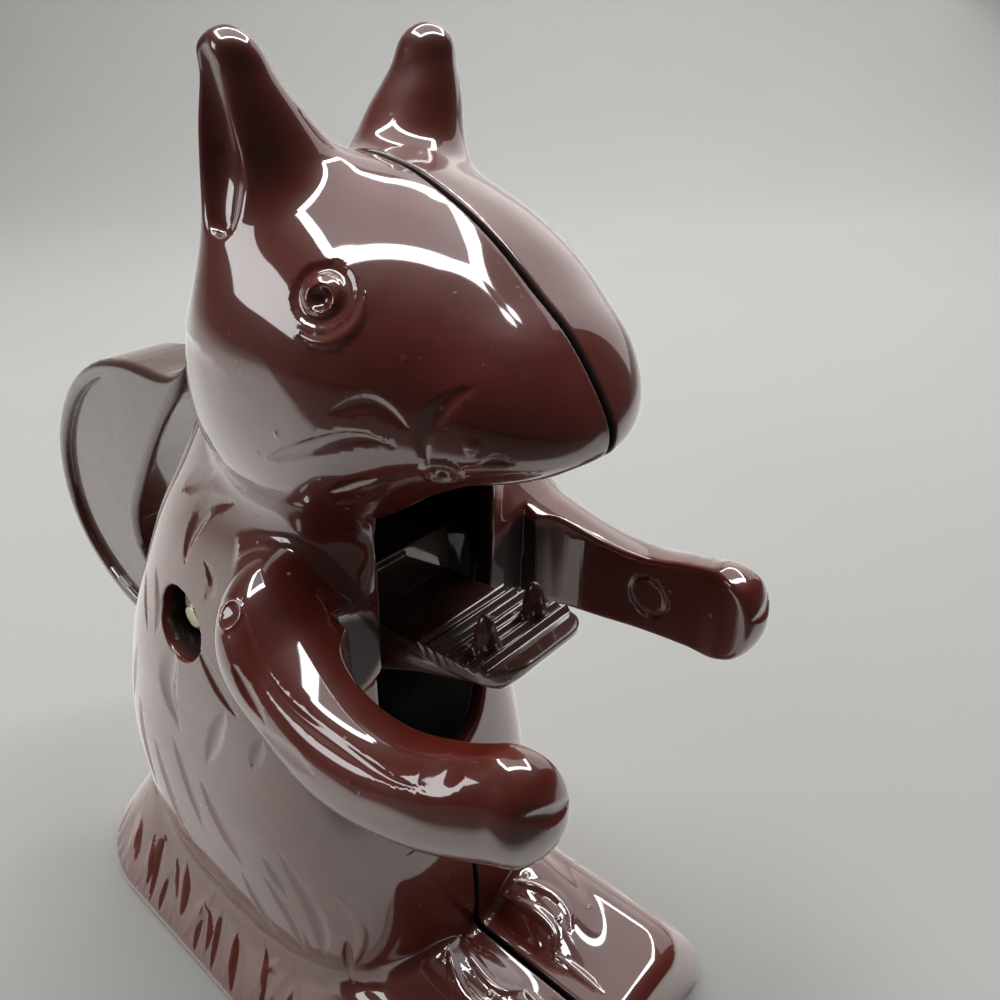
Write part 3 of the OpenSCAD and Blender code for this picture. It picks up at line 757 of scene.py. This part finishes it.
def carveHalf(name, left):
    return carve(name, lambda p: castingField(p, left), castingLow, castingHigh, castingCell,
                 mirrored=left, tints=castingTints, fineWhere=fineDetail, memory=halves)


rightShell = carveHalf("right_casting", False)
leftShell = carveHalf("left_casting", True)


# The lever: ribbed jaw, hub and tail in one casting
lever = {
    "jawHalf": 12.1, "jawReach": -70.5, "jawZ": 116, "ribs": 7, "ribH": 1.3,
    "cornerR": 8.5, "edgeR": 0.7, "keelR": 4.5, "riserReach": -34.5, "riserTop": pivotZ + 16.5,
    "spikeH": 8, "spikeR": 2.3, "spikeGap": 12.8, "spikeReach": -60.5, "spikeRoot": 3,
    "tailHalf": 9, "rim": 4, "panel": 2, "panelFront": 62, "hubR": 14, "hubHalf": 11.4, "boltHole": 3.08,
}
tailReach = 106
# Side outline of the tail as shares of its reach from the pivot bolt
tailFront = [(0.06, 0.06), (0.23, -0.07), (0.415, -0.2), (0.565, -0.21), (0.59, -0.085), (0.467, 0.095),
             (0.354, 0.226), (0.25, 0.33), (0.175, 0.43)]
tailBack = [(0.175, 0.43), (0.226, 0.387), (0.311, 0.358), (0.472, 0.354), (0.64, 0.311), (0.81, 0.208),
            (0.948, 0.047), (1, -0.123), (0.962, -0.274), (0.83, -0.387), (0.64, -0.434), (0.453, -0.396),
            (0.245, -0.283), (-0.02, -0.123)]
tailOutline = np.vstack([smoothPath(tailFront, 4)[:-1], smoothPath(tailBack, 4)]) * tailReach + [0, pivotZ]


def jawOutline():
    f = lever
    z = f["jawZ"]
    front, back = np.array([-65, z - 0.6]), np.array([-47.5, z - 3])
    upper = [(f["jawReach"], z)]
    for i in range(f["ribs"]):
        for j in (0, 1):
            at = front + (back - front) * (i + j / 2) / f["ribs"]
            upper.append((at[0], at[1] - (1 - j) * f["ribH"]))
    low = back[1] - f["ribH"]
    upper += [(back[0], low), (f["riserReach"], low - 0.4), (f["riserReach"] + 1, f["riserTop"]),
              (-16, f["riserTop"] - 1), (0, pivotZ + f["hubR"])]
    under = [(f["jawReach"], z - 1.2), (f["jawReach"] + 3.5, z - 6), (f["jawReach"] + 11, z - 8.5),
             (-46, z - 13.5), (-32, pivotZ - 8), (-14, pivotZ - 12.5), (0, pivotZ - f["hubR"])]
    return upper + under[::-1]


jawSheet = Field2d(jawOutline(), 0.2)
tailSheet = Field2d(tailOutline, 0.4)


def leverField(p):
    f = lever
    x, y, z = np.abs(p[:, 0]), p[:, 1], p[:, 2]
    rounding = np.interp(z, [f["jawZ"] - 7, f["jawZ"] - 3], [f["keelR"], f["edgeR"]])
    jaw = trim(jawSheet.at(p), x - f["jawHalf"], rounding)
    jaw = trim(jaw, roundCorner(x - f["jawHalf"], f["jawReach"] - y, f["cornerR"]), rounding)
    height = z - f["jawZ"] + f["spikeRoot"]
    bar = np.hypot(x - f["spikeGap"] / 2, y - f["spikeReach"])
    t = np.clip(height / f["spikeH"], 0, 1)
    spike = (bar - f["spikeR"] * np.sqrt(np.clip(1 - t ** 2.2, 0, 1))) * 0.8
    spike = common(spike, height - f["spikeH"], -f["spikeRoot"] - height)
    jaw = fillet(jaw, spike, 0.8)
    outline = tailSheet.at(p)
    tail = trim(outline, x - f["tailHalf"], 2.4)
    sink = trim(outline + f["rim"], f["panelFront"] - y, 2)
    panel = np.maximum(sink, f["tailHalf"] - f["panel"] - x)
    tail = trim(tail, -panel, 1.2)
    hub = trim(np.hypot(y, z - pivotZ) - f["hubR"], x - f["hubHalf"], 0.5)
    whole = fillet(fillet(jaw, hub, 1.2), tail, 2)
    waist = np.maximum(np.hypot(y, z - pivotZ) - f["hubR"], f["hubHalf"] - x)
    whole = trim(whole, -waist, 0.3)
    return trim(whole, f["boltHole"] - np.hypot(y, z - pivotZ), 0.4)


leverPiece = carve("lever_casting", leverField, (-14, -74, 54), (14, 110, 153), 0.5)


fastener = {
    "sides": 72, "fit": 0.02, "boltR": 3, "boltEnd": -28.1, "seat": 21.6,
    "pitch": 1.0, "threadDepth": 0.55, "threadTo": -19,
    "hexFlats": 10, "crownR": 4.75, "headTop": 25.6, "nutFrom": -26.6, "chamfer": 0.55,
    "washerR": 6.25, "washerT": 1.6, "holeR": 3.1, "washerEdge": 0.3,
    "leverWasherR": 11, "leverWasherAt": (11.7, 12.8), "leverWasherEdge": 0.2,
    "screwR": 2.5, "screwEnd": -16, "screwPitch": 0.8, "screwGroove": 0.42, "screwThreadTo": -1,
    "headFrom": 19, "headTo": 23, "headR": 4.25, "socketFlats": 3, "socketDepth": 2.5, "knurlDepth": 0.14,
    "pinR": 2, "pinHalf": 6, "pinChamfer": 0.4,
}
turnAngles = 2 * np.pi * np.arange(fastener["sides"]) / fastener["sides"]


def hexagonRadius(acrossFlats):
    return acrossFlats / 2 / np.cos((turnAngles + np.pi / 6) % (np.pi / 3) - np.pi / 6)


def threadRings(start, end, radius, pitch, depth):
    # rings whose radius winds round as a thread, with a chamfered start
    rings = []
    for x in np.arange(start, end, pitch / 8):
        phase = (x / pitch - turnAngles / (2 * np.pi)) % 1
        wave = np.clip(1.4 * np.abs(2 * phase - 1) - 0.2, 0, 1)
        rings.append((x, np.minimum(radius - depth * wave, radius - 0.8 + (x - start))))
    return rings


def turnedPiece(name, forms):
    # round parts on axes along X: each is rings of place and radius, the axis, and whether the rings close up
    points, faces = [], []
    sides = fastener["sides"]
    for rings, at, closed in forms:
        first = len(points)
        for x, radius in rings:
            r = np.broadcast_to(radius, (sides,))
            points += [(x, at[0] + a * math.cos(t), at[1] + a * math.sin(t)) for a, t in zip(r, turnAngles)]
        count = len(rings)
        for i in range(count if closed else count - 1):
            low, high = first + i * sides, first + (i + 1) % count * sides
            for j in range(sides):
                k = (j + 1) % sides
                faces.append((low + j, low + k, high + k, high + j))
        if not closed:
            faces.append(tuple(first + j for j in reversed(range(sides))))
            faces.append(tuple(first + (count - 1) * sides + j for j in range(sides)))
    mesh = smoothMesh(name, [(x * mm, (y + pivotAt[1]) * mm, z * mm) for x, y, z in points], faces)
    mesh.set_sharp_from_angle(angle=math.radians(32))
    return addObject(name, mesh)


def washerRings(start, end, outer, edge):
    # outside going up, then inside going down
    hole = fastener["holeR"]
    return [(start, outer - edge), (start + 0.3 * edge, outer - 0.3 * edge), (start + edge, outer),
            (end - edge, outer), (end - 0.3 * edge, outer - 0.3 * edge), (end, outer - edge),
            (end, hole + 0.5 * edge), (end - 0.5 * edge, hole), (start + 0.5 * edge, hole),
            (start, hole + 0.5 * edge)]


def hexagonEnd(at, way):
    # chamfered end of a hexagon: way is 1 at its top and -1 at its foot
    f = fastener
    flats = hexagonRadius(f["hexFlats"])
    rings = [(at - way * f["chamfer"], flats),
             (at - 0.5 * way * f["chamfer"], np.minimum(flats, f["crownR"] + 0.45)),
             (at, np.minimum(flats, f["crownR"]))]
    return rings[::way]


def boltRings():
    f = fastener
    shank, seat, collar, top = f["boltR"] - f["fit"], f["seat"], f["seat"] + 0.25, f["headTop"]
    rings = threadRings(f["boltEnd"], f["threadTo"], f["boltR"], f["pitch"], f["threadDepth"])
    rings += [(f["threadTo"], shank), (seat, shank), (seat, f["crownR"]), (collar, f["crownR"]),
              (collar, hexagonRadius(f["hexFlats"]))]
    return rings + hexagonEnd(top, 1) + [(top, 3.4), (top - 0.25, 3.1)]


def nutRings():
    f = fastener
    low, high, bore, edge = f["nutFrom"], -f["seat"], f["boltR"] - f["fit"], 0.4
    bored = [(high, bore + edge), (high - edge, bore), (low + edge, bore), (low, bore + edge)]
    return hexagonEnd(low, -1) + hexagonEnd(high, 1) + bored


def screwRings():
    # thread, knurled head and hexagon socket
    f = fastener
    shank, low, high, head = f["screwR"] - 0.03, f["headFrom"], f["headTo"], f["headR"]
    knurl = head - f["knurlDepth"] * (np.arange(f["sides"]) % 2)
    socket = hexagonRadius(f["socketFlats"])
    thread = threadRings(f["screwEnd"], f["screwThreadTo"], f["screwR"], f["screwPitch"], f["screwGroove"])
    return thread + [
        (f["screwThreadTo"], shank), (low, shank), (low, head - 0.35), (low + 0.2, head - 0.15),
        (low + 0.35, knurl), (high - 0.7, knurl), (high - 0.5, head - 0.12), (high - 0.15, head - 0.35),
        (high, head - 0.6), (high, 1.95), (high - 0.25, socket), (high - f["socketDepth"], socket),
        (high - f["socketDepth"] - 0.3, 0.4)]


def pinRings():
    f = fastener
    end, edge, radius = f["pinHalf"], f["pinChamfer"], f["pinR"]
    side = radius - f["fit"]
    return [(-end, radius - edge), (-end + edge, side), (end - edge, side), (end, radius - edge)]


def makeFasteners():
    f = fastener
    pivot = (0, pivotZ)
    seat, floor = f["seat"], f["seat"] - f["washerT"]
    a, b = f["leverWasherAt"]
    washers = [washerRings(*ends, f["washerR"], f["washerEdge"]) for ends in ((floor, seat), (-seat, -floor))]
    spacers = [washerRings(*ends, f["leverWasherR"], f["leverWasherEdge"]) for ends in ((a, b), (-b, -a))]
    screws = [(screwRings(), casting[at], False) for at in ("headScrew", "baseScrew")]
    pins = [(pinRings(), casting[at], False) for at in ("chestPin", "rumpPin")]
    return {
        "pivot_bolt": turnedPiece("threaded_bolt", [(boltRings(), pivot, False)]),
        "pivot_nut": turnedPiece("chamfered_nut", [(nutRings(), pivot, True)]),
        "bolt_washers": turnedPiece("rounded_washers", [(rings, pivot, True) for rings in washers]),
        "lever_washers": turnedPiece("spacer_washers", [(rings, pivot, True) for rings in spacers]),
        "case_screws": turnedPiece("socket_screws", screws),
        "locating_pins": turnedPiece("chamfered_pins", pins),
    }


fasteners = makeFasteners()
print("fasteners are made")


def operator(operation, swapped=False):
    # what an arithmetic sign does between two sockets, or a socket and a number
    def combine(wire, other):
        a, b = (other, wire) if swapped else (wire, other)
        return wire.bench.add("ShaderNodeMath", {"operation": operation}, {0: a, 1: b})
    return combine


class Wire:
    # a socket that numbers and other sockets can be combined with
    def __init__(self, bench, socket):
        self.bench = bench
        self.socket = socket

    __add__ = __radd__ = operator("ADD")
    __sub__ = operator("SUBTRACT")
    __rsub__ = operator("SUBTRACT", swapped=True)
    __mul__ = __rmul__ = operator("MULTIPLY")


class Bench:
    # the nodes of one material
    def __init__(self, name):
        self.material = bpy.data.materials.new(name)
        self.material.use_nodes = True
        self.tree = self.material.node_tree
        self.tree.nodes.clear()

    def add(self, kind, settings=None, sockets=None, out=0):
        node = self.tree.nodes.new(kind)
        for key, value in (settings or {}).items():
            setattr(node, key, value)
        for key, value in (sockets or {}).items():
            self.plug(node.inputs[key], value)
        return Wire(self, node.outputs[out])

    def plug(self, socket, value):
        if isinstance(value, Wire):
            self.tree.links.new(value.socket, socket)
        elif isinstance(value, tuple) and socket.type == "RGBA" and len(value) == 3:
            socket.default_value = (*value, 1)
        else:
            socket.default_value = value

    def place(self):
        return self.add("ShaderNodeTexCoord", out=3)

    def noise(self, size, detail=2.0, rough=0.5, seed=0.0):
        # size is the width of a blotch in millimetres
        return self.add("ShaderNodeTexNoise", {"noise_dimensions": "4D"},
                        {"Vector": self.place(), "W": seed, "Scale": 1000 / size, "Detail": detail,
                         "Roughness": rough})

    def ramp(self, value, stops):
        # two stops, each a position and a level
        wire = self.add("ShaderNodeValToRGB", None, {0: value})
        for element, (position, level) in zip(wire.socket.node.color_ramp.elements, stops):
            element.position = position
            element.color = (level, level, level, 1)
        return wire

    def mix(self, factor, a, b):
        return self.add("ShaderNodeMix", {"data_type": "RGBA"}, {0: factor, 6: a, 7: b}, out=2)

    def painted(self, name):
        return self.add("ShaderNodeAttribute", {"attribute_name": name}, out=2)

    def bump(self, height, distance, strength=1.0, normal=None):
        sockets = {"Height": height, "Distance": distance, "Strength": strength}
        if normal is not None:
            sockets["Normal"] = normal
        return self.add("ShaderNodeBump", None, sockets)

    def finish(self, sockets):
        shader = self.add("ShaderNodeBsdfPrincipled", None, sockets)
        output = self.tree.nodes.new("ShaderNodeOutputMaterial")
        self.tree.links.new(shader.socket, output.inputs[0])
        return self.material


def enamel(name, look, hasTints):
    # gloss enamel over a casting
    b = Bench(name)
    cloud = b.noise(26, 3, 0.55, 1.0)
    fine = b.noise(3.2, 4, 0.6, 2.0)
    colour = b.mix(b.ramp(cloud, [(0.3, 0.0), (0.72, 1.0)]), look["deep"], look["red"])
    colour = b.mix(b.ramp(fine, [(0.55, 0.0), (0.95, 0.45)]), colour, look["thin"])
    spots = b.add("ShaderNodeTexVoronoi", {"feature": "F1"}, {"Vector": b.place(), "Scale": look["specks"]})
    rare = b.ramp(b.noise(9, 1, 0.5, 3.0), [(look["rare"], 0.0), (look["rare"] + 0.08, 1.0)])
    speck = b.ramp(spots, [(0.07, 1.0), (0.14, 0.0)]) * rare
    colour = b.mix(speck * 0.7, colour, look["dust"])
    rough = look["rough"] + fine * 0.10
    coat = look["coat"] - speck * 0.6
    if hasTints:
        inside = b.painted("inside")
        sunk = b.painted("sunk")
        # painted shade: the deep colour in the grooves of the carving; raised strokes get thinner, lighter
        # paint
        colour = b.mix(b.ramp(sunk, [(0.5, 0.0), (0.95, 0.55)]), colour, look["deep"])
        colour = b.mix(b.ramp(sunk, [(0.2, 0.4), (0.5, 0.0)]), colour, look["thin"])
        # painted shade: near-black in the hollow and the channel, and a dark joint at the seam, on dull bare
        # metal with little coat
        colour = b.mix(inside * 0.9, colour, look["bareHollowShade"])
        rough = rough + inside * 0.3
        coat = coat * (1 - inside * 0.85)
    wave = b.noise(11, 1.5, 0.4, 4.0)
    orange = b.noise(1.5, 1.0, 0.4, 5.0)
    normal = b.bump(wave, 0.0007, 0.8)
    normal = b.bump(orange, 0.00004, 0.5, normal)
    normal = b.bump(speck, 0.00012, 0.6, normal)
    return b.finish({"Base Color": colour, "Roughness": rough, "IOR": 1.4, "Coat Weight": coat,
                     "Coat Roughness": 0.05, "Coat IOR": 2.1, "Normal": normal})


def zinc(name, tint, rough):
    # zinc plating with a yellow passivation in blotches and a brushed grain
    b = Bench(name)
    blotch = b.noise(4, 3, 0.6, 6.0)
    grain = b.noise(0.5, 3, 0.7, 7.0)
    yellower = tuple(v * s for v, s in zip(tint, (0.8, 0.76, 0.6)))
    colour = b.mix(b.ramp(blotch, [(0.35, 0.0), (0.7, 1.0)]), tint, yellower)
    colour = b.mix(b.ramp(grain, [(0.62, 0.0), (0.8, 0.5)]), colour, (0.10, 0.085, 0.06))
    return b.finish({"Base Color": colour, "Metallic": 1.0, "Roughness": rough + grain * 0.22,
                     "Normal": b.bump(grain, 0.00003, 0.6)})


# The deep colour also serves as the painted shade in the grooves of the carving.
redEnamel = {"deep": (0.115, 0.012, 0.006), "red": (0.19, 0.024, 0.012), "thin": (0.27, 0.05, 0.028),
             # near-black painted shade for the hollow and the channel, also the dark joint at the seam
             "bareHollowShade": (0.010, 0.006, 0.006), "dust": (0.5, 0.46, 0.4), "specks": 330.0, "rare": 0.55,
             "rough": 0.36, "coat": 1.0}
# Darker brown enamel for the lever: partly a dark patina, partly painted shade for the jaw that sits in the
# shadow of the mouth.
patinaAndShadeEnamel = {"deep": (0.060, 0.017, 0.012), "red": (0.105, 0.028, 0.019), "thin": (0.15, 0.055, 0.038),
               "dust": (0.40, 0.33, 0.26), "specks": 700.0, "rare": 0.42, "rough": 0.42, "coat": 0.85}
enamelCasting = enamel("enamel casting", redEnamel, True)
enamelLever = enamel("enamel lever", patinaAndShadeEnamel, False)
zincBright = zinc("zinc bright", (0.66, 0.66, 0.62), 0.18)
zincYellow = zinc("zinc yellow", (0.86, 0.82, 0.66), 0.34)


def dress(piece, material, body, node):
    piece.data.materials.append(material)
    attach(piece, body)
    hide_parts(node)


dress(rightShell, enamelCasting, "castings", "right_half")
dress(leftShell, enamelCasting, "castings", "left_half")
dress(leverPiece, enamelLever, "lever", "tail_lever")
for node, piece in fasteners.items():
    plating = zincYellow if node in ("pivot_bolt", "pivot_nut") else zincBright
    dress(piece, plating, "castings", node)
print("materials are on")


# Lengths of the stage, the lights and the camera's surroundings are metres.
# The camera sees a pale floor throughout. The reflections see bright paper that turns dark in front of the
# object.
stage = {"floor": (0.53, 0.53, 0.512), "paper": (0.90, 0.89, 0.86), "beyond": (0.10, 0.09, 0.085),
         "darkFloorFrom": -0.17, "size": 2.4, "bend": 0.5, "back": 0.9, "drop": 0.0002}
heading = -47.8


def makeBackdrop():
    # floor that curves up into a wall behind the object, square to the camera's heading
    f = stage
    profile = [(-f["size"], 0.0), (f["back"], 0.0)]
    for i in range(1, 13):
        a = math.radians(90 * i / 12)
        profile.append((f["back"] + f["bend"] * math.sin(a), f["bend"] * (1 - math.cos(a))))
    profile.append((f["back"] + f["bend"], f["size"]))
    points = [(x, y, z - f["drop"]) for y, z in profile for x in (-f["size"], f["size"])]
    faces = [(2 * i, 2 * i + 1, 2 * i + 3, 2 * i + 2) for i in range(len(profile) - 1)]
    sheet = addObject("backdrop", smoothMesh("backdrop", points, faces))
    sheet.rotation_euler = (0, 0, math.radians(heading))
    b = Bench("pale paper")
    shade = b.noise(180, 2, 0.5, 8.0)
    colour = b.mix(b.ramp(shade, [(0.3, 0.0), (0.7, 1.0)]), f["floor"], tuple(0.97 * v for v in f["floor"]))
    # a ramp spans 0 to 1, so half a metre to each side of the middle is brought into it
    depth = b.add("ShaderNodeSeparateXYZ", None, {0: b.place()}, out=1)
    edge = 2 * f["darkFloorFrom"] + 0.5
    paper = b.mix(b.ramp(depth * 2 + 0.5, [(edge - 0.04, 1.0), (edge + 0.04, 0.0)]), f["paper"], f["beyond"])
    seen = b.add("ShaderNodeLightPath", out=0)
    sheet.data.materials.append(b.finish({"Base Color": b.mix(seen, paper, colour), "Roughness": 0.9}))


def areaLight(name, place, target, size, power):
    data = bpy.data.lights.new(name, "AREA")
    data.shape = "RECTANGLE"
    data.size, data.size_y = size
    data.energy = power
    lamp = addObject(name, data)
    lamp.location = place
    lamp.rotation_euler = (Vector(target) - Vector(place)).to_track_quat("-Z", "Y").to_euler()
    return lamp


# The photo's view: degrees, and the place in millimetres with its reach from the pivot bolt
view = {"elevation": 28.5, "roll": -1.2, "lens": 31.32, "sensor": 36, "place": (-92, -142, 206.85)}


def makeCamera():
    data = bpy.data.cameras.new("camera")
    data.sensor_width = view["sensor"]
    data.lens = view["lens"]
    data.clip_start = 0.01
    camera = addObject("camera", data)
    matrix = Matrix.Translation((Vector(view["place"]) + Vector((0, pivotAt[1], 0))) * mm)
    for angle, axis in ((heading, "Z"), (90 - view["elevation"], "X"), (view["roll"], "Z")):
        matrix = matrix @ Matrix.Rotation(math.radians(angle), 4, axis)
    camera.matrix_world = matrix
    bpy.context.scene.camera = camera


studioWindow = {"middle": (0.31, 0.26, 1.12), "turn": -30, "size": (1.10, 0.74), "frame": 0.12,
                "panelPower": 1.8, "framePower": 3.8}


def makeWindow():
    # window overhead: a soft panel with a brighter frame
    f = studioWindow
    turn = Matrix.Rotation(math.radians(f["turn"]), 3, "Z")
    wide, deep = f["size"]
    edge = f["frame"]
    parts = [("panel", (0, 0, 0.01), (wide, deep), f["panelPower"])]
    for name, at, size in (("left", (-wide / 2, 0), (edge, deep)), ("right", (wide / 2, 0), (edge, deep)),
                           ("front", (0, -deep / 2), (wide, edge)), ("rear", (0, deep / 2), (wide, edge))):
        parts.append((name, (*at, 0), size, f["framePower"] * max(size)))
    for name, at, size, power in parts:
        lamp = areaLight("window " + name, (0, 0, 1), (0, 0, 0), size, power)
        lamp.matrix_world = Matrix.Translation(Vector(f["middle"]) + turn @ Vector(at)) @ turn.to_4x4()


room = {"tint": (1, 0.98, 0.96, 1), "light": 0.03, "seen": 0.34}


def makeWorld(scene):
    # the camera sees a pale room round the floor, and the reflections a dark one
    world = bpy.data.worlds.new("studio")
    world.use_nodes = True
    nodes, links = world.node_tree.nodes, world.node_tree.links
    background = nodes["Background"]
    background.inputs["Color"].default_value = room["tint"]
    path = nodes.new("ShaderNodeLightPath")
    level = nodes.new("ShaderNodeMapRange")
    level.inputs["To Min"].default_value = room["light"]
    level.inputs["To Max"].default_value = room["seen"]
    links.new(path.outputs["Is Camera Ray"], level.inputs["Value"])
    links.new(level.outputs["Result"], background.inputs["Strength"])
    scene.world = world


makeBackdrop()
makeCamera()
makeWindow()
areaLight("room", (1.25, 0.25, 0.75), (0, 0, 0.12), (1.5, 1.1), 4.0)
areaLight("door", (-0.80, 0.65, 0.62), (-0.12, 0.05, 0.03), (0.5, 0.45), 2.2)

scene = bpy.context.scene
scene.view_settings.view_transform = "Standard"
makeWorld(scene)
print("stage is set")

bpy.context.view_layer.update()
